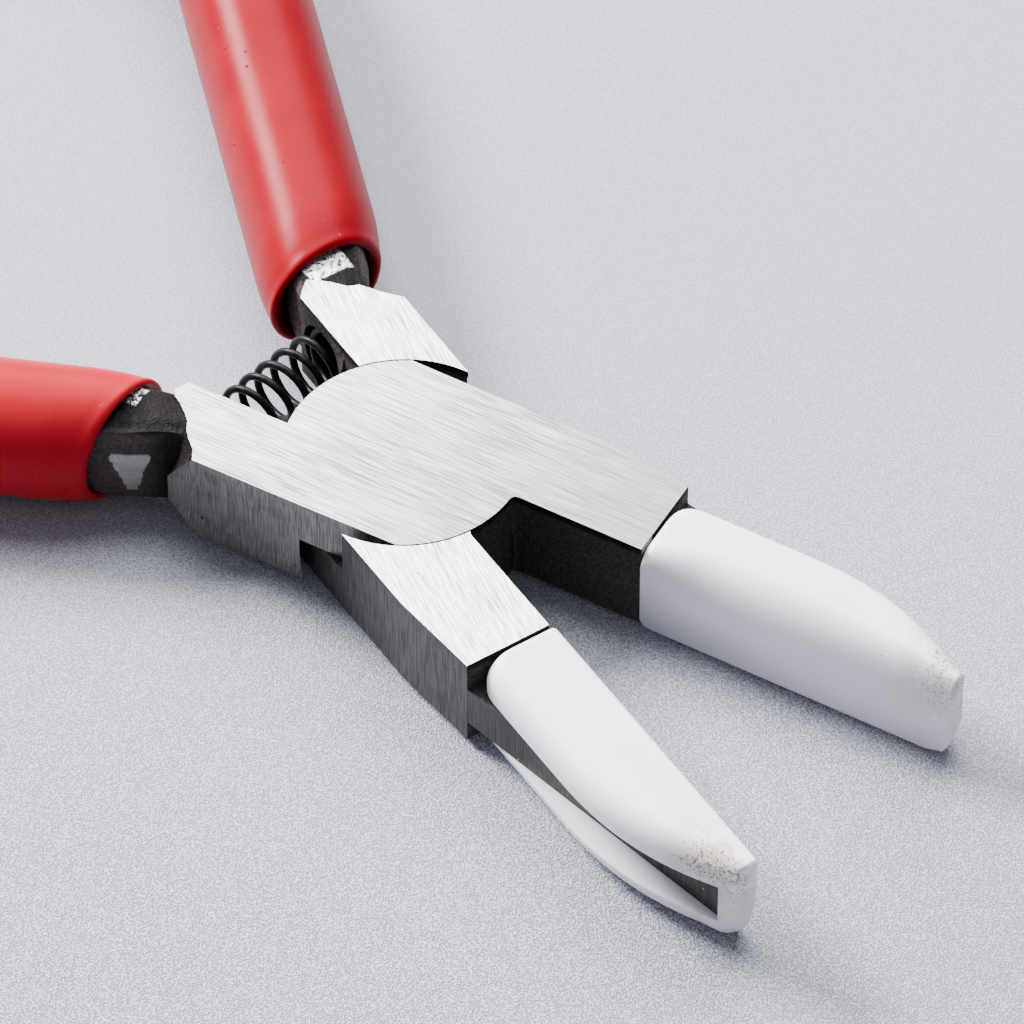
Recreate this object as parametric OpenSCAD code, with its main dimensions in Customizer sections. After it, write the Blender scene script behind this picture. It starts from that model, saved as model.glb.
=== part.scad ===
// Flat-nose pliers with nylon jaws, a lap joint, dipped grips and a coil return spring.
// The two steel halves are one shape, the second turned over about the long axis.
// Origin: on the pivot axis, at the flat underside of the joint. +X points to the jaws, +Z is up.

/* [Joint] */
// Thickness of the joint and of the steel beside it
head_t = 9.1; // [8.6:0.1:10]
// Radius of each half's disc at the pivot
disc_r = 10; // [9.6:0.1:11]
// Distance from the pivot to the straight edge of a half
edge_y = 9; // [8.6:0.1:9.2]
// Whole angle between the halves as the spring holds them open
rest_angle = 27; // [20:1:30]
// Play between the two lapped faces
lap_play = 0.04; // [0.02:0.01:0.1]
// Play between a disc and the recess it turns in
recess_play = 0.1; // [0.08:0.01:0.2]

/* [Rivet] */
// Radius of the pivot rivet's shank
rivet_r = 3; // [2.5:0.1:3.5]
// Radius of the rivet's countersunk head
rivet_head_r = 4.4; // [4:0.1:5]
// Depth of the rivet's countersunk head
rivet_head_h = 1.4; // [1:0.1:2]
// Radial play of the rivet in the half that turns
rivet_play = 0.04; // [0.02:0.01:0.1]

/* [Steel jaws] */
// Distance from the pivot to the shoulder where the nylon starts
shoulder_x = 21.9; // [20:0.1:24]
// Height of the jaw's outer corner over the closing line, at the shoulder
shoulder_y = 8.2; // [7.8:0.1:8.6]
// Distance from the pivot to the slight bend in the jaw's outer edge
bend_x = 13.5; // [11:0.5:16]
// Distance from the closing line to the steel's inner face
jaw_inset = 0.35; // [0.2:0.05:0.6]
// Distance from the pivot to the end of the tang inside the nylon
tang_end_x = 49.4; // [46:0.1:49.4]
// Height of the tang's outer corner over the closing line, at its end
tang_end_y = 2.5; // [2.2:0.1:2.6]
// Depth of the tang's near face under the disc's outer face
tang_near = 2.1; // [1.8:0.1:2.6]
// Thickness of the tang
tang_t = 4.05; // [3.6:0.05:4.4]

/* [Nylon jaws] */
// Distance from the pivot to the tip
nylon_end_x = 50.5; // [50.3:0.1:52]
// Width of a jaw across its root
nylon_w = 7.3; // [7:0.1:7.6]
// Height of the gripping face
nylon_h = 9.4; // [9:0.1:9.8]
// Thickness of the wall between the gripping face and the tang
nylon_wall = 1.5; // [1.2:0.1:1.6]
// Gap between the shoulder and the nylon
nylon_gap = 0.55; // [0.3:0.05:0.8]

/* [Handles] */
// Distance from the closing line to the inner face of a handle's root
handle_inset = 1.95; // [1.8:0.05:2.2]
// Distance from the pivot to the end of a handle's ground root
root_x = 19; // [18.7:0.1:20]
// Length of the steel bar inside a grip, from the root along its curve
bar_len = 73; // [68:1:74]
// Angle by which a handle bows outward
bow_out = 21; // [19:0.5:22]
// Angle by which a handle turns back in at its end
bow_in = 10; // [6:1:14]

/* [Grips] */
// Width of a grip, across the handle
grip_w = 11.1; // [10.6:0.1:12]
// Height of a grip
grip_h = 11.6; // [11:0.1:12.4]
// Place of the grip's mouth along the handle's curve
grip_start = 7.4; // [7:0.2:9]
// Slant of the grip's mouth, which reaches further towards the pivot on its inner side
mouth_slant = 0.5; // [0:0.05:0.6]
// Thickness of vinyl past the end of the steel
grip_end_wall = 3; // [2:0.5:4]

/* [Return spring] */
// Thickness of the spring's wire
wire_d = 0.56; // [0.4:0.02:0.7]
// Radius of the coil at the middle of its wire
coil_r = 2.45; // [2.2:0.05:2.55]
// Rise of the coil in each open turn
coil_pitch = 1.87; // [1.6:0.01:2.4]
// Distance from the pivot to the spring's pockets, along a handle
pocket_x = 15.6; // [15.4:0.1:15.7]
// Radius of a spring pocket
pocket_r = 3.1; // [3:0.05:3.2]
// Depth of a spring pocket
pocket_depth = 2; // [1.5:0.1:2.4]

/* [Hidden] */

$fn = 96;
eps = 0.01;
mid_z = head_t / 2;
rest_half = rest_angle / 2;
root_out_x = 14.6;                   // where the ground root ends at its outer edge
root_edge_y = edge_y + 0.25;         // outer edge of the root, a little wider than the joint
root_corner = 1.3;                   // bevel between the root's inner face and its end
web_out_x = 17.5;                    // where the root's outer edge ends at mid height
web_out_y = 8.4;
web_h = 5;                           // height of the root's part that reaches that far
tang_back = head_t - tang_near;      // near face of the tang, over the other outer face
slide_fit = 0.02;                    // play between the tang and the nylon around it

// ---- Curve of a handle, in the closed pose of the first half ----
path_start = [-15, -4.85];           // inside the ground root
path_step = 1;
path_lead = 6;                       // heading at the start
neck_len = 7;                        // stretch over which the handle turns outward
turn_from = 42;                      // stretch over which it turns back in
turn_to = 72;
grip_len = bar_len + grip_end_wall;

function ease(a, b, s) = let (u = max(0, min(1, (s - a) / (b - a)))) u * u * (3 - 2 * u);
function heading(s) = path_lead + (bow_out - path_lead) * ease(0, neck_len, s)
    - (bow_out + bow_in) * ease(turn_from, turn_to, s);
function walk(steps, p, s) = steps <= 0 ? p
    : walk(steps - 1, p - path_step * [cos(heading(s)), sin(heading(s))], s + path_step);
path = [for (k = [0:grip_len + path_step]) walk(k, path_start, 0)];
function path_at(s) = let (k = floor(s), u = s - k) path[k] * (1 - u) + path[k + 1] * u;

// A ring of points across the handle's curve: q is [towards the other handle, up].
// With a slant, the ring leans towards the pivot on the side of the other handle.
function ring_at(s, section, slant = 0) = let (p = path_at(s), h = heading(s))
    [for (q = section) [p.x - q.x * (sin(h) - slant * cos(h)), p.y + q.x * (cos(h) + slant * sin(h)),
        mid_z + q.y]];

// ---- Sections of the bar and of the grip ----
sides = 24;
bar_corner = 2;                      // flats that cut the bar's corners
function bar_half_w(s) = 2.75 + 0.95 * ease(1, 9, s) - 0.7 * ease(20, bar_len, s);
function bar_half_h(s) = 4.15 - 0.95 * ease(20, bar_len, s);
function octagon(w, h, c) = [[w, h - c], [w - c, h], [c - w, h], [-w, h - c],
    [-w, c - h], [c - w, -h], [w - c, -h], [w, c - h]];
// The octagon's outline as a list of n points, n a multiple of 8
function octagon_points(w, h, c, n) = let (o = octagon(w, h, c), m = n / 8)
    [for (i = [0:n - 1]) let (k = floor(i / m), u = i / m - k) o[k] * (1 - u) + o[(k + 1) % 8] * u];
function bar_section(s, n, play) =
    octagon_points(bar_half_w(s) + play, bar_half_h(s) + play, bar_corner, n);
function ellipse_points(w, h, n, turn) = [for (i = [0:n - 1]) let (a = turn + 360 * i / n)
    [w * cos(a), h * sin(a)]];

// Rings joined into one closed skin, with flat ends
module skin(rings) {
    n = len(rings[0]);
    last = len(rings) - 1;
    sides_faces = [for (k = [0:last - 1]) for (i = [0:n - 1]) let (j = (i + 1) % n)
        [k * n + i, k * n + j, (k + 1) * n + j, (k + 1) * n + i]];
    start_face = [for (i = [0:n - 1]) n - 1 - i];
    end_face = [for (i = [0:n - 1]) last * n + i];
    polyhedron([for (r = rings) for (p = r) p], concat([start_face], sides_faces, [end_face]), 8);
}

// ---- Placing the halves: the second is the first turned over about X ----
module as_half_a() {
    rotate(rest_half) children();
}
module as_half_b() {
    rotate(-rest_half) translate([0, 0, head_t]) rotate([180, 0, 0]) children();
}

// ---- Steel half: the disc is the upper layer, in the closed pose ----
module half_outline() {
    intersection() {
        circle(disc_r);
        square([2 * disc_r + 1, 2 * edge_y], center = true);
    }
    polygon([[0, jaw_inset], [shoulder_x, jaw_inset], [shoulder_x, shoulder_y],
        [bend_x, edge_y], [0, edge_y]]);
    polygon([[0, -handle_inset], [-root_x, -handle_inset],
        [-root_x - root_corner, -handle_inset - root_corner],
        [-root_out_x, -root_edge_y], [0, -edge_y]]);
}
module root_web() {
    translate([0, 0, mid_z - web_h / 2])
        linear_extrude(web_h)
            polygon([[-root_out_x, -handle_inset - root_corner],
                [-root_x - root_corner, -handle_inset - root_corner],
                [-web_out_x, -web_out_y], [-root_out_x, -root_edge_y]]);
}
module tang() {
    translate([0, 0, tang_back - tang_t])
        linear_extrude(tang_t)
            polygon([[shoulder_x - 1, nylon_wall], [tang_end_x, nylon_wall], [tang_end_x, tang_end_y],
                [shoulder_x, shoulder_y], [shoulder_x - 1, shoulder_y]]);
}
module handle_bar() {
    skin([for (s = [0:3:bar_len]) ring_at(s, bar_section(s, 8, 0))]);
}
module spring_pocket() {
    translate([-pocket_x, -handle_inset - pocket_depth, mid_z])
        rotate([-90, 0, 0])
            cylinder(r = pocket_r, h = pocket_depth + 2);
}
module steel_half() {
    difference() {
        union() {
            linear_extrude(head_t) half_outline();
            root_web();
            tang();
            handle_bar();
        }
        translate([0, 0, -1]) cylinder(r = disc_r + recess_play, h = mid_z + 1 + lap_play / 2);
        spring_pocket();
        children();
    }
}
module half_a() {
    color([0.80, 0.79, 0.77])
        as_half_a()
            steel_half()
                translate([0, 0, -1]) cylinder(r = rivet_r, h = head_t + 2);
}
module half_b() {
    color([0.74, 0.73, 0.71])
        as_half_b()
            steel_half() {
                translate([0, 0, -1]) cylinder(r = rivet_r + rivet_play, h = head_t + 2);
                translate([0, 0, head_t]) rotate([180, 0, 0]) rivet_head(rivet_play, 1);
            }
}

// ---- Rivet: pressed into the first half, free to turn in the second ----
module rivet_head(play, extra) {
    slope = (rivet_head_r - rivet_r) / rivet_head_h;
    rotate_extrude()
        polygon([[0, -extra], [rivet_head_r + play + slope * extra, -extra], [rivet_r + play, rivet_head_h],
            [0, rivet_head_h]]);
}
module rivet() {
    color([0.62, 0.61, 0.60]) {
        rivet_head(0, 0);
        translate([0, 0, rivet_head_h - eps]) cylinder(r = rivet_r, h = head_t - rivet_head_h + eps);
    }
}

// ---- Nylon jaw: a channel that slides over the tang ----
nylon_face = 0.02;                   // gripping face, just off the closing line
nylon_start_x = shoulder_x + nylon_gap;
nylon_taper_x = 34;                  // where the outer side starts to curve in
nylon_tip_y = 2.5;                   // height of the outer side at the tip
outer_round = 2;                     // round along the outer edges
inner_round = 0.7;                   // round along the gripping face
tip_round = 0.9;                     // round at the tip
root_round = 1.8;                    // round at the outer root corner
function nylon_side(x) = let (u = max(0, (x - nylon_taper_x) / (nylon_end_x - tip_round - nylon_taper_x)),
        v = max(0, nylon_start_x + root_round - x))
    nylon_w - (nylon_w - nylon_tip_y) * pow(min(u, 1.05), 2.25)
        - (root_round - sqrt(max(0, root_round * root_round - v * v)));
corner_points = 5;
// Points of one rounded corner: its centre, radius and first angle
function corner(y, z, r, from) = [for (k = [0:corner_points - 1])
    let (a = from + 90 * k / (corner_points - 1)) [y + r * cos(a), z + r * sin(a)]];
// A ring of points around the jaw at x, drawn in by shrink
function nylon_ring(x, shrink) = let (y0 = nylon_face + shrink, y1 = nylon_side(x) - shrink,
        hh = nylon_h / 2 - shrink, r0 = inner_round, r1 = min(outer_round, (y1 - y0) * 0.55))
    [for (q = concat(corner(y1 - r1, hh - r1, r1, 0), corner(y0 + r0, hh - r0, r0, 90),
            corner(y0 + r0, r0 - hh, r0, 180), corner(y1 - r1, r1 - hh, r1, 270)))
        [x, q.x, mid_z + q.y]];
module nylon_jaw() {
    root = [for (x = [0, 0.3, 0.9, root_round]) nylon_ring(nylon_start_x + x, 0)];
    length = [for (x = [nylon_taper_x - 5:2.5:nylon_end_x - 2 * tip_round]) nylon_ring(x, 0)];
    tip = [for (a = [0:30:90]) nylon_ring(nylon_end_x - tip_round * (1 - sin(a)),
        tip_round * 0.7 * (1 - cos(a)))];
    difference() {
        skin(concat(root, length, tip));
        translate([0, 0, tang_back - tang_t - slide_fit])
            linear_extrude(tang_t + 2 * slide_fit)
                polygon([[0, nylon_wall - slide_fit], [tang_end_x + slide_fit, nylon_wall - slide_fit],
                    [tang_end_x + slide_fit, 2 * nylon_w], [0, 2 * nylon_w]]);
    }
}
module nylon_jaw_a() {
    color([0.93, 0.93, 0.95]) as_half_a() nylon_jaw();
}
module nylon_jaw_b() {
    color([0.93, 0.93, 0.95]) as_half_b() nylon_jaw();
}

// ---- Grip: a dipped vinyl sleeve with a closed, rounded end ----
end_round = 5;
function grip_swell(s) = 1 - 0.04 * ease(grip_start + 4, grip_start, s)
    - 0.05 * ease(45, grip_len, s);
// The mouth's slant fades over the first stretch of the grip
function slant(s) = mouth_slant * (1 - ease(grip_start + 2, grip_start + 14, s));
function grip_ring(s, f) =
    ring_at(s, ellipse_points(f * grip_w / 2, f * grip_h / 2, sides, 25), slant(s));
function grip_outer(s) = let (e = max(0, (s - grip_len + end_round) / end_round))
    grip_ring(s, grip_swell(s) * sqrt(max(0.02, 1 - e * e)));
module grip() {
    body = [for (s = [grip_start:2.5:grip_len - end_round - 1]) s];
    tip = [for (a = [0:15:90]) grip_len - end_round + end_round * sin(a)];
    hollow = [for (s = [bar_len:-3:grip_start + 1]) s];
    skin(concat(
        [ring_at(bar_len + slide_fit, ellipse_points(1, 1, sides, 25))],
        [for (s = hollow) ring_at(s, bar_section(s, sides, slide_fit), slant(s))],
        [ring_at(grip_start, bar_section(grip_start, sides, slide_fit), slant(grip_start))],
        [for (s = body) grip_outer(s)],
        [for (s = tip) grip_outer(s)]));
}
module grip_a() {
    color([0.78, 0.12, 0.13]) as_half_a() grip();
}
module grip_b() {
    color([0.78, 0.12, 0.13]) as_half_b() grip();
}

// ---- Return spring: its line leaves each pocket square to the handle's inner face ----
spring_lift = wire_d / 2 + 0.05;     // first turn's height over the pocket's floor
spring_floor = [-pocket_x, -handle_inset - pocket_depth + spring_lift];
spring_from = [spring_floor.x * cos(rest_half) - spring_floor.y * sin(rest_half),
    spring_floor.x * sin(rest_half) + spring_floor.y * cos(rest_half)];
bend_out = 5;                        // the line straightens over this much of its length
line_step = 0.1;
spring_len = -2 * spring_from.y + 0.25;
function lean(s) = rest_half * (1 - ease(1, bend_out, s) - ease(spring_len - bend_out, spring_len - 1, s));
// Points of the spring's middle line, in plan
function line_point(steps, p, s) = steps <= 0 ? p
    : line_point(steps - 1, p + line_step * [-sin(lean(s)), cos(lean(s))], s + line_step);
line = [for (k = [0:ceil(spring_len / line_step) + 1]) line_point(k, spring_from, 0)];
function line_at(s) = let (k = floor(s / line_step), u = s / line_step - k)
    line[k] * (1 - u) + line[k + 1] * u;
closed_turns = 1;
closed_rise = wire_d + 0.05;
open_len = spring_len - 2 * closed_turns * closed_rise;
open_turns = open_len / coil_pitch;
all_turns = open_turns + 2 * closed_turns;
// Length along the line after t turns
function rise(t) = t < closed_turns ? t * closed_rise
    : t < closed_turns + open_turns ? closed_turns * closed_rise + (t - closed_turns) * coil_pitch
    : spring_len - (all_turns - t) * closed_rise;
coil_phase = 128;
wire_sides = 8;
turn_rings = 16;
function wire_ring(t) = let (s = rise(t), p = line_at(s), a = lean(s), b = coil_phase - 360 * t)
    [for (i = [0:wire_sides - 1]) let (c = 360 * i / wire_sides,
        r = coil_r + wire_d / 2 * cos(c), d = wire_d / 2 * sin(c))
        [p.x + r * cos(b) * cos(a) - d * sin(a), p.y + r * cos(b) * sin(a) + d * cos(a),
            mid_z + r * sin(b)]];
module spring() {
    color([0.12, 0.12, 0.13])
        skin([for (k = [0:floor(all_turns * turn_rings)]) wire_ring(k / turn_rings)]);
}

half_a();
half_b();
rivet();
nylon_jaw_a();
nylon_jaw_b();
grip_a();
grip_b();
spring();
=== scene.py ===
"""Nylon jaw flat-nose pliers: the looks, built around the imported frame.

Both halves are one forging. It is shaped in millimetres in the closed pose of the upper half,
where +X runs to the jaws and the other half lies across Y = 0, and is then placed as the upper
or the lower half.
"""
import math

import bmesh
import bpy
from mathutils import Matrix, Vector, noise

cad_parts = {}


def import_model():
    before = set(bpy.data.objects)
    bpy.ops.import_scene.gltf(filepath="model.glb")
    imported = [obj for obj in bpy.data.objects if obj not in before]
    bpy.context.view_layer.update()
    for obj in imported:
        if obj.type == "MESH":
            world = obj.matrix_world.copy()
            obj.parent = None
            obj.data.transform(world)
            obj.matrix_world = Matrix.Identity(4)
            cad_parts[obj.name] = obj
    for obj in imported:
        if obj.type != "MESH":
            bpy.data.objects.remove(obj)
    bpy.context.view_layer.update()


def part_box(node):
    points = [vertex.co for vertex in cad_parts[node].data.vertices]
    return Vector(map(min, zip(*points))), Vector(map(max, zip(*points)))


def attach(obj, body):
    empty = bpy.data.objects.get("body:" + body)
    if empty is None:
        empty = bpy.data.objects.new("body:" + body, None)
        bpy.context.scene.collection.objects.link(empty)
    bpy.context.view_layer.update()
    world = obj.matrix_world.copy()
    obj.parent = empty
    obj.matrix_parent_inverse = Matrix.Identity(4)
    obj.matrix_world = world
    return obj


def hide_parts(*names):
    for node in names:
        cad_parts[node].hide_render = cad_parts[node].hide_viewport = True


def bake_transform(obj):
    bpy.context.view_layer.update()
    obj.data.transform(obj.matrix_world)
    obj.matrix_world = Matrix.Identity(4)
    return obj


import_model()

# ---- Driving sizes, in millimetres ----
MM = 0.001
HEAD_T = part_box("rivet")[1].z / MM           # thickness of the joint
MID_Z = HEAD_T / 2
DISC_R = 10.0
EDGE_Y = 9.0                                 # pivot to a half's straight edge
REST_HALF = math.radians(13.5)               # each half's turn as the spring holds them open
RECESS_R = 10.14                             # recess that the other half's disc turns in
LAP_PLAY = 0.02                              # each lapped face to the middle of the joint
EDGE_BEVEL = 0.13                            # broken edges of the ground steel

SHOULDER_X, SHOULDER_Y = 21.9, 8.2
BEND_X = 13.5
JAW_INSET = 0.35
TANG_END_X, TANG_END_Y = 49.7, 2.5
TANG_INNER_Y = 1.5                           # closing line to the tang's inner face
TANG_LOW, TANG_HIGH = HEAD_T - 6.15, HEAD_T - 2.1
HANDLE_INSET = 2.02                          # closing line to the handle root's inner face

POCKET_X, POCKET_R, POCKET_DEPTH = 15.6, 3.1, 2.0
RIVET_R, RIVET_HEAD_R, RIVET_HEAD_H = 3.0, 4.4, 1.4
RIVET_PLAY = 0.04
RIVET_SIDES = 96


# ---- Small helpers ----
def ease(a, b, s):
    u = max(0.0, min(1.0, (s - a) / (b - a)))
    return u * u * (3 - 2 * u)


def arc(cx, cy, r, first, last, steps):
    """Points on an arc, angles in degrees."""
    angles = [math.radians(first + (last - first) * k / steps) for k in range(steps + 1)]
    return [(cx + r * math.cos(a), cy + r * math.sin(a)) for a in angles]


def placement(half):
    """Matrix from the closed upper half, in millimetres, to the frame, in metres."""
    if half == "a":
        return Matrix.Scale(MM, 4) @ Matrix.Rotation(REST_HALF, 4, "Z")
    turned_over = Matrix.Translation((0, 0, HEAD_T)) @ Matrix.Rotation(math.pi, 4, "X")
    return Matrix.Scale(MM, 4) @ Matrix.Rotation(-REST_HALF, 4, "Z") @ turned_over


def mesh_object(name, points, faces):
    mesh = bpy.data.meshes.new(name)
    mesh.from_pydata(points, [], faces)
    work = bmesh.new()
    work.from_mesh(mesh)
    bmesh.ops.recalc_face_normals(work, faces=work.faces)
    work.to_mesh(mesh)
    work.free()
    piece = bpy.data.objects.new(name, mesh)
    bpy.context.scene.collection.objects.link(piece)
    return piece


def skin(name, rings):
    """Rings of points joined into one closed skin."""
    n, last = len(rings[0]), len(rings) - 1
    points = [p for ring in rings for p in ring]
    faces = [(k * n + i, k * n + (i + 1) % n, (k + 1) * n + (i + 1) % n, (k + 1) * n + i)
             for k in range(last) for i in range(n)]
    faces += [tuple(range(n)), tuple(last * n + i for i in range(n))]
    return mesh_object(name, points, faces)


def cylinder(r, low, high, sides):
    turns = [math.tau * k / sides for k in range(sides)]
    ring = [(r * math.cos(t), r * math.sin(t)) for t in turns]
    return skin("cutter", [[(x, y, low) for x, y in ring], [(x, y, high) for x, y in ring]])


def settle(piece):
    """Applies the piece's modifiers."""
    bpy.context.view_layer.update()
    mesh = bpy.data.meshes.new_from_object(piece.evaluated_get(bpy.context.evaluated_depsgraph_get()))
    piece.modifiers.clear()
    piece.data = mesh


def combine(piece, tool, how):
    """Boolean of the piece with a tool, which is then removed."""
    step = piece.modifiers.new("combine", "BOOLEAN")
    step.operation, step.solver, step.object = how, "EXACT", tool
    settle(piece)
    bpy.data.objects.remove(tool)


def break_edges(piece, width, segments=2, limit=25):
    step = piece.modifiers.new("edges", "BEVEL")
    step.width, step.segments, step.limit_method = width, segments, "ANGLE"
    step.angle_limit = math.radians(limit)
    step.use_clamp_overlap = True
    settle(piece)


def shade(piece, limit=30):
    """Smooth shading that leaves the broad flat faces flat."""
    for face in piece.data.polygons:
        face.use_smooth = True
    piece.data.set_sharp_from_angle(angle=math.radians(limit))
    step = piece.modifiers.new("normals", "WEIGHTED_NORMAL")
    step.keep_sharp = True
    settle(piece)


# ---- Curve of a handle: where it is and which way it heads after s millimetres ----
PATH_START = (-15.0, -4.85)
TURN_OUT, TURN_LEAD, TURN_BACK = 21.0, 6.0, 31.0
BAR_LEN, GRIP_LEN = 73.0, 76.0
PATH_STEP = 0.25


def heading(s):
    return math.radians(TURN_LEAD + (TURN_OUT - TURN_LEAD) * ease(0, 7, s) - TURN_BACK * ease(42, 72, s))


def handle_path():
    start = Vector(PATH_START)
    points = {0: start.copy()}
    for direction in (1, -1):
        p = start.copy()
        for k in range(int((GRIP_LEN + 1 if direction > 0 else 6) / PATH_STEP)):
            h = heading(direction * k * PATH_STEP)
            p = p - direction * PATH_STEP * Vector((math.cos(h), math.sin(h)))
            points[direction * (k + 1)] = p.copy()
    return points


PATH = handle_path()


def path_at(s):
    k = math.floor(s / PATH_STEP)
    u = s / PATH_STEP - k
    return PATH[k] * (1 - u) + PATH[k + 1] * u


def ring_at(s, section, slant=0.0):
    """A section across the handle, each point given as (towards the other handle, up).

    A slant leans the section towards the pivot.
    """
    p, h = path_at(s), heading(s)
    across = Vector((-math.sin(h) + slant * math.cos(h), math.cos(h) + slant * math.sin(h)))
    return [(p.x + q[0] * across.x, p.y + q[0] * across.y, MID_Z + q[1]) for q in section]


# ---- Steel ----
CORE_LOW, CORE_HIGH = 2.6, 5.4               # heights between which the root's end is upright


def root_end(z):
    """Outline of the handle root's end at height z, from the inner side to the outer wall."""
    top = [(-19.1, -2.12), (-19.75, -3.3), (-19.3, -4.0), (-18.55, -4.45), (-17.65, -5.2), (-17.0, -5.85),
           (-16.65, -6.6), (-16.0, -7.4), (-15.1, -8.2), (-14.5, -9.3)]
    bottom = [(-19.0, -2.1), (-20.0, -3.1), (-20.4, -3.6), (-19.75, -4.4), (-19.1, -5.1), (-17.9, -6.05),
              (-17.5, -6.95), (-16.7, -7.5), (-15.9, -8.0), (-14.3, -9.3)]
    core = [(-19.1, -2.2), (-19.9, -3.3), (-19.7, -4.1), (-19.4, -4.9), (-19.1, -5.6), (-18.7, -6.3),
            (-18.3, -7.0), (-17.9, -7.6), (-17.5, -8.2), (-17.15, -9.0)]
    if z > MID_Z:
        outline = top
        share = max(0.0, (z - CORE_HIGH) / (HEAD_T - CORE_HIGH))
    else:
        outline = bottom
        share = max(0.0, (CORE_LOW - z) / CORE_LOW)
    return [(a[0] * share + b[0] * (1 - share), a[1] * share + b[1] * (1 - share))
            for a, b in zip(outline, core)]


def half_outline(z):
    """The half in plan at height z, before the other half's disc is let in."""
    flat = math.degrees(math.asin(EDGE_Y / DISC_R))
    inner = math.degrees(math.asin(HANDLE_INSET / DISC_R))
    corner_r = 0.6
    corner_x = math.sqrt((DISC_R + corner_r) ** 2 - (JAW_INSET - corner_r) ** 2)
    turn = math.degrees(math.atan2(JAW_INSET - corner_r, corner_x))
    jaw = [(SHOULDER_X, JAW_INSET), (SHOULDER_X, SHOULDER_Y), (BEND_X, EDGE_Y)]
    far_side = arc(0, 0, DISC_R, 180 - flat, 180 + inner, 40)
    near_side = arc(0, 0, DISC_R, -flat, turn - 0.5, 36)
    corner = arc(corner_x, JAW_INSET - corner_r, corner_r, 180 + turn, 90, 6)
    return jaw + far_side + root_end(z) + near_side + corner


def tang():
    """The bar that the nylon slides on, from inside the shoulder to its blunt end."""
    outer = SHOULDER_Y - 0.02
    plan = [(SHOULDER_X - 1, TANG_INNER_Y), (TANG_END_X, TANG_INNER_Y), (TANG_END_X, TANG_END_Y),
            (SHOULDER_X, outer), (SHOULDER_X - 1, outer)]
    return skin("tang", [[(x, y, z) for x, y in plan] for z in (TANG_LOW, TANG_HIGH)])


def bar_section(s, n=64, play=0.0):
    """Outline of the forged bar: a flattened octagon with worn corners."""
    w = 2.75 + 0.95 * ease(1, 9, s) - 0.7 * ease(20, BAR_LEN, s) + play
    h = 4.42 - 0.35 * ease(3, 11, s) - 0.9 * ease(20, BAR_LEN, s) + play
    cut_w, cut_h = 1.2, 1.6
    corners = [(w, h - cut_h), (w - cut_w, h), (cut_w - w, h), (-w, h - cut_h),
               (-w, cut_h - h), (cut_w - w, -h), (w - cut_w, -h), (w, cut_h - h)]
    points = []
    each = n // 8
    for i in range(8):
        a, b, c = Vector(corners[i - 1]), Vector(corners[i]), Vector(corners[(i + 1) % 8])
        for k in range(each):
            u = (k + 0.5) / each
            if u < 0.5:
                p = (a + b) / 2 * (1 - 2 * u) + b * 2 * u
            else:
                p = b * (2 - 2 * u) + (b + c) / 2 * (2 * u - 1)
            pull = 0.07 * max(0.0, 1 - abs(u - 0.5) * 5)
            points.append(p * (1 - pull))
    return points


LUMP_DEPTH, GRAIN_DEPTH = 0.07, 0.035        # roughness of the forged skin


def forged_bar():
    """The rough bar from inside the root to its end in the grip."""
    stations = [s * 0.25 for s in range(-12, 60)] + [s * 3.0 for s in range(5, 25)] + [BAR_LEN]
    rings = []
    for s in sorted(set(stations)):
        ring = []
        for x, y, z in ring_at(s, bar_section(s)):
            p = Vector((x, y, z))
            away = (p - Vector((*path_at(s), MID_Z))).normalized()
            rough = LUMP_DEPTH * noise.noise(p * 0.9) + GRAIN_DEPTH * noise.noise(p * 2.6)
            ring.append(tuple(p + away * rough))
        rings.append(ring)
    return skin("bar", rings)


def steel_half():
    """The finished half, closed pose, millimetres; only the rivet's hole is left to cut."""
    levels = [0, 0.8, 1.7, CORE_LOW, MID_Z, CORE_HIGH, 6.3, 7.2, 8.1, HEAD_T]
    half = skin("half", [[(x, y, z) for x, y in half_outline(z)] for z in levels])
    combine(half, cylinder(RECESS_R, -1, MID_Z + LAP_PLAY, 192), "DIFFERENCE")
    combine(half, tang(), "UNION")
    break_edges(half, EDGE_BEVEL)
    combine(half, forged_bar(), "UNION")
    pocket = cylinder(POCKET_R, 0, POCKET_DEPTH + 2, 64)
    pocket.data.transform(Matrix.Translation((-POCKET_X, -HANDLE_INSET - POCKET_DEPTH, MID_Z))
                          @ Matrix.Rotation(-math.pi / 2, 4, "X"))
    combine(half, pocket, "DIFFERENCE")
    return half


def is_ground(centre, normal):
    """Whether a face belongs to the ground top or bottom."""
    return abs(normal.z) > 0.9 and (centre.z > HEAD_T - 0.05 or centre.z < 0.05)


def is_wall(centre, normal):
    """Whether a face belongs to the brushed outer walls."""
    outer_side = centre.y > 2.4 and normal.y > 0.4 and centre.x > -6
    root_side = centre.y < -8.3 and normal.y < -0.6 and centre.x < 6 and centre.x > -17.3
    return abs(normal.z) < 0.5 and (outer_side or root_side)


def turned(name, profile):
    """A solid of revolution about the pivot, from its radius at each height."""
    sides = [math.tau * k / RIVET_SIDES for k in range(RIVET_SIDES)]
    return skin(name, [[(r * math.cos(t), r * math.sin(t), z) for t in sides] for r, z in profile])


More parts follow.
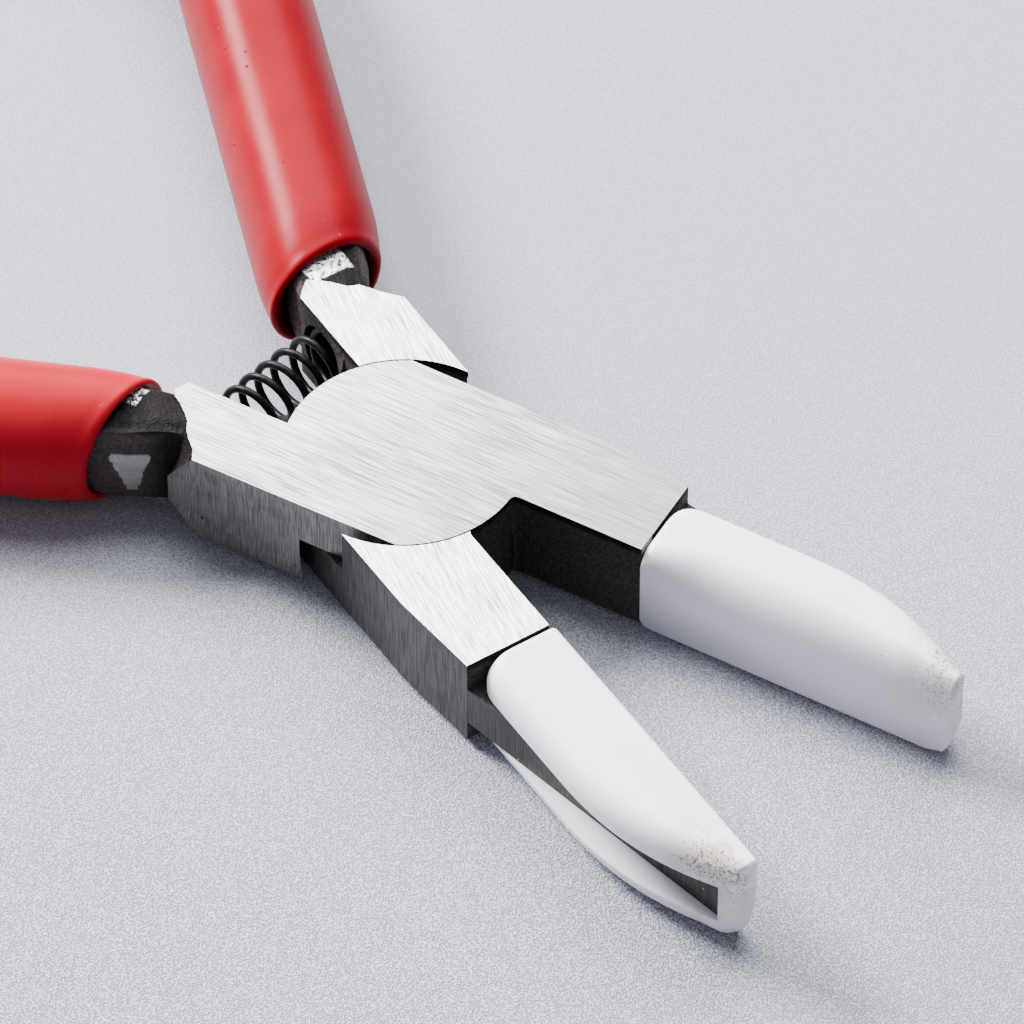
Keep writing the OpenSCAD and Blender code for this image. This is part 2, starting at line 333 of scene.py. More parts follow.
def steel_halves(materials):
    """Both halves, each with its own rivet hole and its faces sorted by finish."""
    master = steel_half()
    pieces = []
    for name in ("a", "b"):
        piece = master.copy()
        piece.data = master.data.copy()
        piece.name = "steel_half_" + name
        bpy.context.scene.collection.objects.link(piece)
        if name == "a":
            combine(piece, cylinder(RIVET_R, -1, HEAD_T + 1, RIVET_SIDES), "DIFFERENCE")
        else:
            loose = RIVET_R + RIVET_PLAY
            combine(piece, cylinder(loose, -1, HEAD_T + 1, RIVET_SIDES), "DIFFERENCE")
            slope = (RIVET_HEAD_R - RIVET_R) / RIVET_HEAD_H
            sink = turned("sink", ((loose, HEAD_T - RIVET_HEAD_H),
                                   (RIVET_HEAD_R + RIVET_PLAY + slope, HEAD_T + 1)))
            combine(piece, sink, "DIFFERENCE")
        mesh = piece.data
        mesh.materials.clear()
        for material in materials[name]:
            mesh.materials.append(material)
        for face in mesh.polygons:
            if is_ground(face.center, face.normal):
                face.material_index = 1
            elif is_wall(face.center, face.normal):
                face.material_index = 2
            else:
                face.material_index = 0
        mesh.transform(placement(name))
        shade(piece)
        pieces.append(piece)
    bpy.data.objects.remove(master)
    return pieces


def rivet(materials):
    """The pivot rivet, its countersunk head ground flush with the underside."""
    piece = turned("pivot_rivet", ((RIVET_HEAD_R - 0.06, 0), (RIVET_HEAD_R, 0.05),
                                   (RIVET_R, RIVET_HEAD_H), (RIVET_R, HEAD_T)))
    for material in materials:
        piece.data.materials.append(material)
    for face in piece.data.polygons:
        face.material_index = 0 if face.center.z < MID_Z else 1
    piece.data.transform(Matrix.Scale(MM, 4))
    shade(piece)
    return piece


# ---- Nylon jaws ----
NYLON_START = SHOULDER_X + 0.1
NYLON_END = {"a": 50.6, "b": 51.2}           # pushed on by slightly different amounts
NYLON_W, NYLON_H, NYLON_WALL = 7.3, 9.4, 1.5
NYLON_TAPER_X, NYLON_TIP_Y = 34.0, 2.5
NYLON_FACE_Y = 0.02                          # closing line to the gripping face
ROOT_EDGE_R, ROOT_CORNER_R = 0.85, 2.2       # at the shoulder: top and bottom edges, outer corners
TIP_EDGE_R, TIP_SIDE_R = 0.35, 0.4
TIP_WORN_X, TIP_WORN_Z = 1.6, 4.3            # the tip's worn edge: back along the jaw, and up its end


def nylon_side(x, end):
    """Distance from the closing line to the jaw's outer side."""
    u = max(0.0, (x - NYLON_TAPER_X) / (end - 0.9 - NYLON_TAPER_X))
    return NYLON_W - (NYLON_W - NYLON_TIP_Y) * min(u, 1.05) ** 2.25


def rounded(y, z, wide, high, first, steps):
    """A quarter turn of an ellipse about y, z."""
    angles = [math.radians(first + 90 * k / steps) for k in range(steps + 1)]
    return [(y + wide * math.cos(a), z + high * math.sin(a)) for a in angles]


def drop(r, away):
    """How far a rounded edge of radius r has fallen at this distance from its end."""
    if away >= r:
        return 0.0
    return r - math.sqrt(max(0.0, r * r - (r - away) ** 2))


def nylon_ring(x, end, slot, worn):
    """The jaw's section at x: a soft-edged block with a slot from its outer side for the tang.

    The gripping face rolls over at its top and has a crisp bottom edge. worn is 1 where the tip's
    top edge is the worn one, and -1 where its bottom edge is.
    """
    root = x - NYLON_START
    tip = end - x
    y0 = NYLON_FACE_Y + drop(TIP_SIDE_R, tip)
    y1 = nylon_side(x, end) - drop(ROOT_CORNER_R, root) * 0.8 - drop(TIP_SIDE_R, tip)
    worn_away = drop(TIP_WORN_X, tip) * TIP_WORN_Z / TIP_WORN_X
    edge_away = drop(TIP_EDGE_R, tip)
    top = NYLON_H / 2 - drop(ROOT_EDGE_R, root) - (worn_away if worn > 0 else edge_away)
    bottom = drop(ROOT_EDGE_R, root) + (worn_away if worn < 0 else edge_away) - NYLON_H / 2
    outer = min(2.0, (y1 - y0) * 0.55)
    roll, crisp = 1.5 + 2.3 * ease(NYLON_START, NYLON_START + 8, x), 0.4
    roll_wide = min(roll, (y1 - y0) * 0.42)
    lip = 0.12
    low, high = TANG_LOW - MID_Z - 0.03, TANG_HIGH - MID_Z + 0.03
    deep = min(NYLON_WALL - 0.03, y1 - 0.3)
    section = rounded(y1 - outer, top - outer, outer, outer, 0, 8)
    section += rounded(y0 + roll_wide, top - roll, roll_wide, roll, 90, 12)
    section += rounded(y0 + crisp, bottom + crisp, crisp, crisp, 180, 6)
    section += rounded(y1 - outer, bottom + outer, outer, outer, 270, 8)
    if slot:
        soft = lip * 0.3
        section += [(y1, low - lip * 2), (y1 - soft, low - soft), (y1 - lip, low), (deep, low),
                    (deep, high), (y1 - lip, high), (y1 - soft, high + soft), (y1, high + lip * 2)]
    else:
        side = top - bottom - 2 * outer
        section += [(y1, bottom + outer + side * k / 9) for k in range(1, 9)]
    return [(x, y, MID_Z + z) for y, z in section]


def nylon_jaw(name, half, end, material):
    """The moulding: rings from its root, round its slot, to its closed tip."""
    worn = -1 if half == "a" else 1
    quarter = [1 - math.cos(math.radians(a)) for a in range(0, 91, 15)]
    places = [NYLON_START + ROOT_CORNER_R * q for q in quarter]
    places += [NYLON_START + ROOT_EDGE_R * q for q in quarter[1:-1]]
    x = NYLON_START + ROOT_CORNER_R + 1
    while x < TANG_END_X - 0.5:
        places.append(x)
        x += 1.0
    rings = [nylon_ring(x, end, True, worn) for x in sorted(places) + [TANG_END_X + 0.02]]
    tip = [end - TIP_WORN_X * q for q in quarter[:-1] if TIP_WORN_X * q < end - TANG_END_X - 0.05]
    tip += [end - TIP_SIDE_R * q for q in quarter[1:]]
    rings += [nylon_ring(x, end, False, worn) for x in [TANG_END_X + 0.04] + sorted(tip)]
    piece = skin(name, rings)
    piece.data.transform(placement(half))
    piece.data.materials.append(material)
    shade(piece, 40)
    return piece


# ---- Grips ----
GRIP_W, GRIP_H = 11.1, 11.6
# The rolled lip: distance from the mouth, and how much thinner the sleeve is there.
LIP = [(4.0, 0.0), (2.4, 0.04), (1.6, 0.10), (1.1, 0.16), (0.75, 0.16), (0.45, 0.17), (0.2, 0.26),
       (0.05, 0.42), (0.0, 0.62), (0.06, 0.8), (0.25, 0.94)]
MOUTH_DEPTH = 0.9                            # mouth to where the vinyl hugs the bar
GRIP_MOUTH = {"a": 7.9, "b": 7.1}            # where the mouth is on the handle's curve
GRIP_LEAN = {"a": 0.5, "b": 0.4}             # how far the mouth is dipped out of square


def ellipse(w, h, n=64):
    return [(w * math.cos(math.tau * k / n), h * math.sin(math.tau * k / n)) for k in range(n)]


def grip(name, half, mouth, lean, material):
    """A dipped sleeve: rolled lip at a slanted mouth, closed round end, hollow for the bar."""
    def slant(s):
        return lean * (1 - ease(mouth + 2, mouth + 14, s))

    def outer(s):
        f = 1 - 0.04 * ease(mouth + 5, mouth, s) - 0.05 * ease(45, GRIP_LEN, s)
        e = max(0.0, (s - GRIP_LEN + 5) / 5)
        f *= math.sqrt(max(0.0004, 1 - e * e))
        return f * GRIP_W / 2, f * GRIP_H / 2

    rings = [ring_at(BAR_LEN + 0.05, ellipse(1, 1), 0)]
    for s in [BAR_LEN - 3 * k for k in range(int((BAR_LEN - mouth - 3) / 3))] + [mouth + MOUTH_DEPTH]:
        rings.append(ring_at(s, bar_section(s, 64, 0.1), slant(s)))
    for away, thinner in reversed(LIP):
        w, h = outer(mouth + away)
        rings.append(ring_at(mouth + away, ellipse(w - thinner, h - thinner), slant(mouth + away)))
    s = mouth + 5
    while s < GRIP_LEN - 5:
        rings.append(ring_at(s, ellipse(*outer(s)), slant(s)))
        s += 1.0
    for a in range(0, 91, 9):
        s = GRIP_LEN - 5 + 5 * math.sin(math.radians(a))
        rings.append(ring_at(s, ellipse(*outer(s)), 0))
    piece = skin(name, rings)
    piece.data.transform(placement(half))
    piece.data.materials.append(material)
    shade(piece, 60)
    return piece


# ---- Return spring ----
WIRE_R, COIL_R, COIL_PITCH = 0.34, 2.39, 1.87
COIL_PHASE = 128                             # degrees round the coil at which the wire starts


def spring(material):
    """The coil, and the middle of its end on each half.

    Its line leaves each pocket square to its handle and straightens between them.
    """
    seat = Vector((-POCKET_X, -HANDLE_INSET - POCKET_DEPTH + WIRE_R + 0.06))
    seat.rotate(Matrix.Rotation(REST_HALF, 2))
    length = -2 * seat.y + 0.25
    bend, step = 5.0, 0.05

    def lean(s):
        return REST_HALF * (1 - ease(1, bend, s) - ease(length - bend, length - 1, s))

    line = [seat.copy()]
    for k in range(int(length / step) + 3):
        a = lean(k * step)
        line.append(line[-1] + step * Vector((-math.sin(a), math.cos(a))))

    closed_rise = WIRE_R * 2 + 0.05
    open_turns = (length - 2 * closed_rise) / COIL_PITCH
    turns = open_turns + 2

    def rise(t):
        if t < 1:
            return t * closed_rise
        if t < 1 + open_turns:
            return closed_rise + (t - 1) * COIL_PITCH
        return length - (turns - t) * closed_rise

    rings, each = [], 40
    for k in range(int(turns * each) + 1):
        t = k / each
        s = rise(t)
        i = min(int(s / step), len(line) - 2)
        p = line[i].lerp(line[i + 1], s / step - i)
        a, b = lean(s), math.radians(COIL_PHASE) - math.tau * t
        end = min(k, int(turns * each) - k)
        wire = WIRE_R * (0.75 if end == 0 else 1)
        ring = []
        for j in range(12):
            c = math.tau * j / 12
            r, d = COIL_R + wire * math.cos(c), wire * math.sin(c)
            ring.append(((p.x + r * math.cos(b) * math.cos(a) - d * math.sin(a)) * MM,
                         (p.y + r * math.cos(b) * math.sin(a) + d * math.cos(a)) * MM,
                         (MID_Z + r * math.sin(b)) * MM))
        rings.append(ring)
    piece = skin("return_spring", rings)
    piece.data.materials.append(material)
    shade(piece, 60)
    return piece, Vector((seat.x, seat.y, MID_Z)) * MM, Vector((seat.x, -seat.y, MID_Z)) * MM


# ---- Material graphs ----
def new_material(name, **constants):
    """A material, its node tree and its shader, with the shader's constant values set."""
    material = bpy.data.materials.new(name)
    material.use_nodes = True
    tree = material.node_tree
    shader = next(n for n in tree.nodes if n.type == "BSDF_PRINCIPLED")
    for socket, value in constants.items():
        shader.inputs[socket.replace("_", " ")].default_value = value
    return material, tree, shader


def add(tree, kind, properties=None, **inputs):
    """A node; each input is a value or another node's socket."""
    node = tree.nodes.new("ShaderNode" + kind)
    for key, value in (properties or {}).items():
        setattr(node, key, value)
    for key, value in inputs.items():
        socket = node.inputs[int(key[1:])] if key[0] == "i" and key[1:].isdigit() else node.inputs[key]
        if isinstance(value, bpy.types.NodeSocket):
            tree.links.new(value, socket)
        else:
            socket.default_value = value
    return node


def local_mm(tree, half):
    """Coordinates in the half's closed pose, in millimetres."""
    turn = -REST_HALF if half == "a" else REST_HALF
    place = add(tree, "TexCoord").outputs["Object"]
    straight = add(tree, "Mapping", Vector=place, Scale=(1 / MM,) * 3, Rotation=(0, 0, turn)).outputs[0]
    if half == "a":
        return straight
    turned_over = add(tree, "Mapping", Vector=straight, Rotation=(math.pi, 0, 0), Location=(0, 0, HEAD_T))
    return turned_over.outputs[0]


def field(tree, place, scale, low, high, detail=3.0, shift=0.0, rough=0.55):
    """Noise stretched by scale (per millimetre), as 0 below low and 1 above high."""
    stretched = add(tree, "Mapping", Vector=place, Scale=scale, Location=(shift, 0.7 * shift, 0))
    made = add(tree, "TexNoise", Vector=stretched.outputs[0], Scale=1.0, Detail=detail, Roughness=rough)
    return span(tree, made.outputs["Fac"], low, high)


def span(tree, value, low, high, out_low=0.0, out_high=1.0):
    """A value mapped smoothly from low..high to out_low..out_high."""
    return add(tree, "MapRange", {"interpolation_type": "SMOOTHSTEP"}, Value=value, i1=low, i2=high,
               i3=out_low, i4=out_high).outputs[0]


def maths(tree, how, a, b=0.0):
    return add(tree, "Math", {"operation": how}, i0=a, i1=b).outputs[0]


def blend_colour(tree, share, a, b):
    node = tree.nodes.new("ShaderNodeMix")
    node.data_type = "RGBA"
    for socket, value in ((node.inputs[0], share), (node.inputs[6], a), (node.inputs[7], b)):
        if isinstance(value, bpy.types.NodeSocket):
            tree.links.new(value, socket)
        else:
            socket.default_value = value if isinstance(value, float) else (*value, 1.0)
    return node.outputs[2]


def axis(tree, place, which):
    return add(tree, "SeparateXYZ", Vector=place).outputs[which]


def bump(tree, shader, height, depth_mm, strength=1.0, before=None):
    """A bump on the shader, its depth in millimetres."""
    node = add(tree, "Bump", Height=height, Distance=depth_mm * MM, Strength=strength)
    if before is not None:
        tree.links.new(before, node.inputs["Normal"])
    if shader is not None:
        tree.links.new(node.outputs[0], shader.inputs["Normal"])
    return node.outputs[0]


def near(tree, place, centre, half_size, soft, axes=(0, 1)):
    """1 within a box about centre, in plan unless other axes are named, falling to 0 over soft."""
    shares = []
    for k, which in enumerate(axes):
        away = maths(tree, "ABSOLUTE", maths(tree, "SUBTRACT", axis(tree, place, which), centre[k]))
        shares.append(span(tree, away, half_size[k] + soft, half_size[k] - soft))
    return maths(tree, "MULTIPLY", *shares)


# ---- Steel finishes ----
BRUSH_TURN_B = math.radians(10)              # the lower half was brushed at a slight angle
BRUSH_ALONG = {"a": 0.17, "b": 0.26}         # brush marks per millimetre of their length


def ground_steel(half, dark, light):
    """Top and bottom faces: ground and brushed along the half."""
    material, tree, shader = new_material("ground_steel_" + half, Metallic=1.0)
    place = local_mm(tree, half)
    if half == "b":
        place = add(tree, "Mapping", Vector=place, Rotation=(0, 0, -BRUSH_TURN_B)).outputs[0]
    along = BRUSH_ALONG[half]
    fine = field(tree, place, (along, 7.5, 1.0), 0.36, 0.64, 2.0)
    hair = field(tree, place, (1.6 * along, 12.0, 1.0), 0.38, 0.62, 1.0, 61.0)
    coarse = field(tree, place, (0.05, 2.6, 1.0), 0.3, 0.7, 2.0, 11.0)
    cloud = field(tree, place, (0.10, 0.16, 0.2), 0.3, 0.7, 2.0, 5.0)
    pits = field(tree, place, (2.2, 2.6, 2.0), 0.775, 0.80, 1.0, 23.0)
    streaks = maths(tree, "ADD", maths(tree, "MULTIPLY", fine, 0.5), maths(tree, "MULTIPLY", coarse, 0.12))
    streaks = maths(tree, "ADD", streaks, maths(tree, "MULTIPLY", hair, 0.38))
    colour = blend_colour(tree, streaks, dark, light)
    colour = blend_colour(tree, maths(tree, "MULTIPLY", cloud, 0.3), colour, tuple(c * 0.94 for c in light))
    if half == "a":
        # Painted shade: the upper half's ground faces are darkened towards the jaw.
        painted_shade_to_jaw = span(tree, axis(tree, place, 0), -14.0, SHOULDER_X, 0.0, 0.74)
        colour = blend_colour(tree, painted_shade_to_jaw, colour, (0.13, 0.118, 0.112))
    colour = blend_colour(tree, pits, colour, (0.10, 0.095, 0.09))
    tree.links.new(colour, shader.inputs["Base Color"])
    tree.links.new(span(tree, streaks, 0, 1, 0.46, 0.34), shader.inputs["Roughness"])
    bump(tree, shader, streaks, 0.010, 0.7)
    return material


def wall_steel(half, dark, light):
    """Outer walls: brushed across, grey, and browner on the tang."""
    material, tree, shader = new_material("wall_steel_" + half, Metallic=1.0)
    place = local_mm(tree, half)
    fine = field(tree, place, (8.0, 8.0, 0.30), 0.30, 0.70, 3.0)
    coarse = field(tree, place, (3.5, 3.5, 0.22), 0.3, 0.7, 3.0, 7.0)
    stain = field(tree, place, (0.35, 0.35, 0.5), 0.45, 0.75, 4.0, 3.0)
    nicks = field(tree, place, (2.4, 2.4, 1.7), 0.80, 0.82, 1.0, 31.0)
    dents = field(tree, place, (1.9, 1.9, 1.5), 0.775, 0.80, 1.0, 71.0)
    streaks = maths(tree, "ADD", maths(tree, "MULTIPLY", fine, 0.8), maths(tree, "MULTIPLY", coarse, 0.2))
    colour = blend_colour(tree, streaks, dark, light)
    colour = blend_colour(tree, maths(tree, "MULTIPLY", stain, 0.5), colour, tuple(c * 0.8 for c in dark))
    tang_share = span(tree, axis(tree, place, 0), SHOULDER_X - 0.5, SHOULDER_X + 1, 0.0, 0.6)
    colour = blend_colour(tree, tang_share, colour, (0.062, 0.051, 0.046))
    colour = blend_colour(tree, nicks, colour, (0.52, 0.51, 0.49))
    colour = blend_colour(tree, dents, colour, (0.02, 0.02, 0.02))
    tree.links.new(colour, shader.inputs["Base Color"])
    tree.links.new(span(tree, streaks, 0, 1, 0.55, 0.42), shader.inputs["Roughness"])
    bump(tree, shader, streaks, 0.012, 0.6)
    return material


def tapered_patch(tree, place):
    """Where the upper half's neck was rubbed bare on its outer side: wide above and narrow below."""
    height = axis(tree, place, 2)
    middle = span(tree, height, 2.4, 6.8, -20.2, -20.4)
    width = span(tree, height, 2.4, 6.8, 0.35, 1.45)
    away = maths(tree, "ABSOLUTE", maths(tree, "SUBTRACT", axis(tree, place, 0), middle))
    ragged = field(tree, place, (1.6, 1.6, 1.6), 0.2, 0.8, 4.0, 53.0)
    away = maths(tree, "ADD", maths(tree, "SUBTRACT", away, width), maths(tree, "MULTIPLY", ragged, 0.35))
    share = maths(tree, "MULTIPLY", span(tree, away, 0.25, 0.15), span(tree, height, 2.3, 2.5))
    share = maths(tree, "MULTIPLY", share, span(tree, height, 6.8, 6.5))
    return maths(tree, "MULTIPLY", share, span(tree, axis(tree, place, 1), -7.6, -8.0))


def black_oxide(half, centre, half_size, low, high):
    """Forged skin under black oxide, with flakes of bare metal about centre on the neck's face.

    The flakes are where a noise passes from low to high.
    """
    material, tree, shader = new_material("black_oxide_" + half, Specular_IOR_Level=0.05)
    place = local_mm(tree, half)
    grain = field(tree, place, (3.2, 3.2, 3.2), 0.3, 0.7, 5.0)
    lump = field(tree, place, (0.7, 0.7, 0.7), 0.3, 0.7, 3.0, 9.0)
    specks = field(tree, place, (5.5, 5.5, 5.5), 0.70, 0.745, 2.0, 17.0)
    forged = span(tree, axis(tree, place, 0), -14.5, -16.5)
    dust = maths(tree, "MULTIPLY", specks, maths(tree, "ADD", maths(tree, "MULTIPLY", forged, 0.6), 0.12))
    upward = 1 if half == "a" else -1
    # Painted shade: the oxide is darkened almost to black close to the face that lies on top, and round the
    # root of the neck.
    top = span(tree, axis(tree, place, 2), MID_Z + 3.5 * upward, MID_Z + 4.1 * upward)
    dark = maths(tree, "MAXIMUM", top, near(tree, place, (-16.6, MID_Z), (2.0, 5.4), 1.2, axes=(0, 2)))
    colour = blend_colour(tree, grain, (0.032, 0.028, 0.029), (0.064, 0.057, 0.056))
    brown = maths(tree, "MULTIPLY", lump, maths(tree, "MULTIPLY", forged, 0.5))
    colour = blend_colour(tree, brown, colour, (0.060, 0.040, 0.034))
    colour = blend_colour(tree, maths(tree, "MULTIPLY", dark, 0.88), colour, (0.002, 0.0015, 0.0015))
    colour = blend_colour(tree, maths(tree, "MULTIPLY", dust, 0.5), colour, (0.20, 0.19, 0.18))
    flakes = field(tree, place, (2.6, 2.6, 2.6), low, high, 6.0, 41.0, 0.8)
    bare = maths(tree, "MULTIPLY", flakes, near(tree, place, centre, half_size, 0.1))
    bare = maths(tree, "MULTIPLY", bare, span(tree, axis(tree, place, 2), MID_Z, MID_Z + upward))
    colour = blend_colour(tree, bare, colour, (0.80, 0.79, 0.77))
    if half == "a":
        rubbed = tapered_patch(tree, place)
        colour = blend_colour(tree, rubbed, colour, (0.32, 0.31, 0.305))
        rust = near(tree, place, (1.3, HEAD_T - 0.45), (0.8, 0.25), 0.2, axes=(1, 2))
        shoulder = span(tree, axis(tree, place, 0), SHOULDER_X - 0.3, SHOULDER_X - 0.1)
        rust = maths(tree, "MULTIPLY", rust, shoulder)
        colour = blend_colour(tree, maths(tree, "MULTIPLY", rust, 0.9), colour, (0.62, 0.43, 0.31))
        bare = maths(tree, "MAXIMUM", bare, rubbed)
    tree.links.new(bare, shader.inputs["Metallic"])
    tree.links.new(colour, shader.inputs["Base Color"])
    tree.links.new(span(tree, grain, 0, 1, 0.62, 0.45), shader.inputs["Roughness"])
    first = bump(tree, None, lump, 0.10, 0.5)
    bump(tree, shader, grain, 0.06, 0.8, first)
    return material


def rivet_steel():
    """Ground steel with faint marks."""
    material, tree, shader = new_material("rivet_steel", Metallic=1.0)
    place = local_mm(tree, "a")
    marks = field(tree, place, (1.2, 4.5, 1.0), 0.3, 0.7, 4.0)
    colour = blend_colour(tree, marks, (0.40, 0.39, 0.38), (0.66, 0.65, 0.64))
    tree.links.new(colour, shader.inputs["Base Color"])
    tree.links.new(span(tree, marks, 0, 1, 0.48, 0.34), shader.inputs["Roughness"])
    bump(tree, shader, marks, 0.01, 0.5)
    return material


def spring_steel():
    """Black wire with a fine grain."""
    material, tree, shader = new_material("spring_steel", Specular_IOR_Level=0.12)
    place = local_mm(tree, "a")
    grain = field(tree, place, (2.5, 2.5, 2.5), 0.35, 0.7, 4.0)
    colour = blend_colour(tree, grain, (0.002, 0.002, 0.0025), (0.008, 0.0075, 0.0075))
    tree.links.new(colour, shader.inputs["Base Color"])
    tree.links.new(span(tree, grain, 0, 1, 0.34, 0.5), shader.inputs["Roughness"])
    bump(tree, shader, grain, 0.01, 0.4)
    return material


# ---- Plastics ----
def nylon(half):
    """Satin nylon, a little translucent, with grime at the tip and painted shade on the gripping face."""
    material, tree, shader = new_material(
        "nylon_" + half, Subsurface_Weight=0.25, Subsurface_Scale=0.0008, IOR=1.5, Specular_IOR_Level=0.4)
    shader.inputs["Subsurface Radius"].default_value = (1.0, 0.95, 0.9)
    place = local_mm(tree, half)
    cloud = field(tree, place, (0.25, 0.25, 0.25), 0.3, 0.7, 3.0)
    tip = span(tree, axis(tree, place, 0), 41.5, 49.0)
    outer = span(tree, axis(tree, place, 1), 0.0, 2.2, 0.8 if half == "a" else 0.45, 1.0)
    dirty = maths(tree, "MULTIPLY", tip, outer)
    upper = axis(tree, place, 2)
    if half == "b":
        upper = maths(tree, "SUBTRACT", HEAD_T, upper)
    dirty = maths(tree, "MULTIPLY", dirty, span(tree, upper, 2.0, 8.5, 0.35, 1.0))
    flecks = field(tree, place, (3.9, 3.9, 3.9), 0.0, 1.0, 5.0, 13.0, 0.80)
    grime = span(tree, maths(tree, "ADD", flecks, maths(tree, "MULTIPLY", dirty, 0.22)), 0.755, 0.79)
    stain = field(tree, place, (0.5, 0.5, 0.5), 0.35, 0.6, 3.0, 29.0)
    specks = field(tree, place, (1.9, 1.9, 1.9), 0.755, 0.775, 2.0, 37.0)
    colour = blend_colour(tree, cloud, (0.885, 0.868, 0.925), (0.925, 0.908, 0.965))
    # Painted shade: the gripping face is greyed low down and towards the shoulder.
    painted_face_shade = maths(tree, "MULTIPLY", span(tree, axis(tree, place, 1), 1.4, 0.2),
                 span(tree, axis(tree, place, 0), 44.0, SHOULDER_X, 0.25, 1.0))
    painted_face_shade = maths(tree, "MULTIPLY", painted_face_shade, span(tree, upper, 6.0, 0.5))
    colour = blend_colour(tree, painted_face_shade, colour, (0.50, 0.495, 0.54))
    stained = maths(tree, "MULTIPLY", maths(tree, "MULTIPLY", stain, dirty), 0.75)
    colour = blend_colour(tree, stained, colour, (0.66, 0.54, 0.46))
    colour = blend_colour(tree, maths(tree, "MULTIPLY", grime, dirty), colour, (0.17, 0.11, 0.08))
    colour = blend_colour(tree, specks, colour, (0.10, 0.09, 0.085))
    tree.links.new(colour, shader.inputs["Base Color"])
    soft = field(tree, place, (1.1, 1.1, 1.1), 0.3, 0.7, 4.0, 19.0)
    tree.links.new(span(tree, soft, 0, 1, 0.42, 0.52), shader.inputs["Roughness"])
    bump(tree, shader, soft, 0.015, 0.35)
    return material


def vinyl(half, dark, light):
    """Glossy dipped vinyl with slow waves and a few small pits."""
    material, tree, shader = new_material("vinyl_" + half, IOR=1.45, Specular_IOR_Level=0.085)
    shader.inputs["Specular Tint"].default_value = (1.0, 0.32, 0.37, 1.0)
    place = local_mm(tree, half)
    cloud = field(tree, place, (0.12, 0.12, 0.12), 0.3, 0.7, 2.0)
    wave = field(tree, place, (0.16, 0.16, 0.16), 0.2, 0.8, 2.0, 5.0)
    pits = field(tree, place, (0.95, 0.95, 0.95), 0.74, 0.80, 1.5, 27.0)
    dust = field(tree, place, (2.6, 2.6, 2.6), 0.80, 0.83, 1.0, 33.0)
    colour = blend_colour(tree, cloud, dark, light)
    colour = blend_colour(tree, maths(tree, "MULTIPLY", dust, 0.6), colour, (0.75, 0.25, 0.24))
    tree.links.new(colour, shader.inputs["Base Color"])
    tree.links.new(span(tree, cloud, 0, 1, 0.31, 0.35), shader.inputs["Roughness"])
    first = bump(tree, None, wave, 0.06, 0.5)
    bump(tree, shader, pits, 0.10, 0.8, first)
    return material


# ---- The pieces ----
oxide = {"a": black_oxide("a", (-22.7, -5.2), (1.0, 1.1), 0.50, 0.53),
         "b": black_oxide("b", (-21.3, -6.0), (1.4, 1.9), 0.455, 0.475)}
# The two halves' ground faces differ in tone only as painted light and shade for the light on each half.
ground = {"a": ground_steel("a", (0.04, 0.037, 0.035), (0.64, 0.606, 0.588)),
          "b": ground_steel("b", (0.12, 0.115, 0.112), (0.92, 0.885, 0.87))}
# The two halves' walls differ in tone only as painted light and shade for the light on each half.
wall = {"a": wall_steel("a", (0.12, 0.114, 0.110), (0.31, 0.296, 0.286)),
        "b": wall_steel("b", (0.045, 0.042, 0.040), (0.120, 0.112, 0.108))}
plastic = {half: nylon(half) for half in "ab"}
# Painted light and shade: the grips get different reds for the light on each half, the upper half's paler
# and the lower half's deeper; the real grips are one red.
red = {"a": vinyl("a", (0.34, 0.009, 0.017), (0.41, 0.011, 0.020)),
       "b": vinyl("b", (0.20, 0.0015, 0.007), (0.24, 0.002, 0.008))}
BODY = {"a": "upper_half", "b": "lower_half"}

for half, piece in zip("ab", steel_halves({h: (oxide[h], ground[h], wall[h]) for h in "ab"})):
    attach(piece, BODY[half])
    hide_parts("half_" + half)

pin = rivet((rivet_steel(), ground["a"]))
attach(pin, "upper_half")
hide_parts("rivet")

for half in "ab":
    piece = nylon_jaw("nylon_jaw_" + half + "_moulding", half, NYLON_END[half], plastic[half])
    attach(piece, BODY[half])
    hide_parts("nylon_jaw_" + half)

for half in "ab":
    piece = grip("vinyl_grip_" + half, half, GRIP_MOUTH[half], GRIP_LEAN[half], red[half])
    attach(piece, BODY[half])
    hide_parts("grip_" + half)

coil, coil_from, coil_to = spring(spring_steel())
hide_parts("spring")
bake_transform(coil)


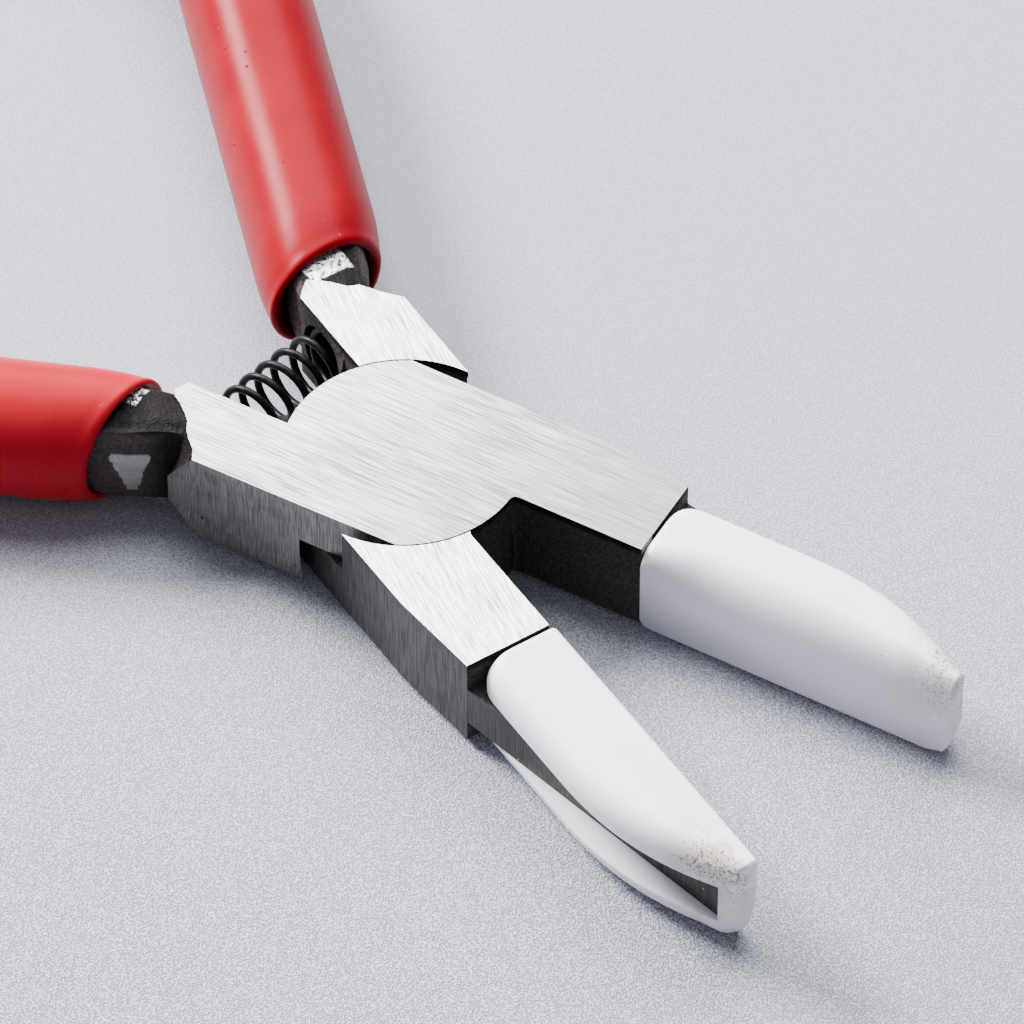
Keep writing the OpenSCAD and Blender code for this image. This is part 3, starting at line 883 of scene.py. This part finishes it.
# ---- Floor, light and camera ----
def floor():
    """A pale grained surface that the jaws' tips and the mouths of the grips lie on.

    Its grain is strongest to the front and fades towards the back.
    """
    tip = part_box("nylon_jaw_a")[1].x
    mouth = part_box("grip_a")[1].x - 6 * MM
    jaw_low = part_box("nylon_jaw_a")[0].z
    grip_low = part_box("grip_a")[0].z
    slope = (jaw_low - grip_low) / (tip - mouth)
    size = 1.2
    clearance = 0.05 * MM
    height = [jaw_low - clearance + (x - tip) * slope for x in (-size, size)]
    piece = mesh_object("floor", [(-size, -size, height[0]), (size, -size, height[1]),
                                  (size, size, height[1]), (-size, size, height[0])], [(0, 1, 2, 3)])
    material, tree, shader = new_material("floor", Specular_IOR_Level=0.3)
    place = add(tree, "TexCoord").outputs["Object"]
    place = add(tree, "Mapping", Vector=place, Scale=(1 / MM,) * 3).outputs[0]
    oblique = add(tree, "Mapping", Vector=place, Rotation=(0.5, 0.35, 0.6)).outputs[0]
    grain = field(tree, oblique, (6.6, 6.6, 6.6), 0.36, 0.64, 1.0)
    far = maths(tree, "SUBTRACT", maths(tree, "MULTIPLY", axis(tree, place, 1), 0.73),
                maths(tree, "MULTIPLY", axis(tree, place, 0), 0.68))
    fading = span(tree, far, -55.0, 35.0, 0.0, 0.72)
    colour = blend_colour(tree, grain, (0.165, 0.168, 0.205), (0.585, 0.590, 0.675))
    colour = blend_colour(tree, fading, colour, (0.312, 0.314, 0.368))
    # Painted shade: the floor is darkened towards +X.
    painted_floor_shade = span(tree, axis(tree, place, 0), 25.0, 95.0, 0.0, 0.5)
    colour = blend_colour(tree, painted_floor_shade, colour, (0.235, 0.24, 0.295))
    tree.links.new(colour, shader.inputs["Base Color"])
    tree.links.new(span(tree, grain, 0, 1, 0.42, 0.55), shader.inputs["Roughness"])
    relief = maths(tree, "MULTIPLY", grain, maths(tree, "SUBTRACT", 1.0, fading))
    bump(tree, shader, relief, 0.07, 0.9)
    piece.data.materials.append(material)


def towards(azimuth, elevation):
    """Unit vector from the pliers towards a light or the camera."""
    a, e = math.radians(azimuth), math.radians(elevation)
    return Vector((math.sin(a) * math.cos(e), -math.cos(a) * math.cos(e), math.sin(e)))


def soft_light(name, azimuth, elevation, distance, size, power):
    light = bpy.data.lights.new(name, "AREA")
    light.shape = "DISK"
    light.size = size
    light.energy = power
    lamp = bpy.data.objects.new(name, light)
    bpy.context.scene.collection.objects.link(lamp)
    away = towards(azimuth, elevation)
    lamp.location = away * distance
    lamp.rotation_mode = "QUATERNION"
    lamp.rotation_quaternion = (-away).to_track_quat("-Z", "Y")


def world(colour, strength):
    made = bpy.data.worlds.new("studio")
    made.use_nodes = True
    back = made.node_tree.nodes["Background"]
    back.inputs["Color"].default_value = (*colour, 1)
    back.inputs["Strength"].default_value = strength
    bpy.context.scene.world = made


def camera(azimuth, elevation, distance, aim, lens):
    lens_data = bpy.data.cameras.new("camera")
    lens_data.lens = lens
    lens_data.sensor_width = 36.0
    lens_data.clip_start = 0.01
    lens_data.clip_end = 10.0
    eye = bpy.data.objects.new("camera", lens_data)
    bpy.context.scene.collection.objects.link(eye)
    back = towards(azimuth, elevation)
    eye.location = Vector(aim) + back * distance
    eye.rotation_mode = "QUATERNION"
    eye.rotation_quaternion = (-back).to_track_quat("-Z", "Y")
    bpy.context.scene.camera = eye


floor()
camera(43.139, 48.859, 0.7395, (0.00543, 0.00706, 0.0), 316.4)
world((0.85, 0.885, 1.0), 0.42)
soft_light("key", -87, 31, 1.0, 0.32, 42.0)
soft_light("overhead", -137, 52, 1.2, 1.3, 45.0)
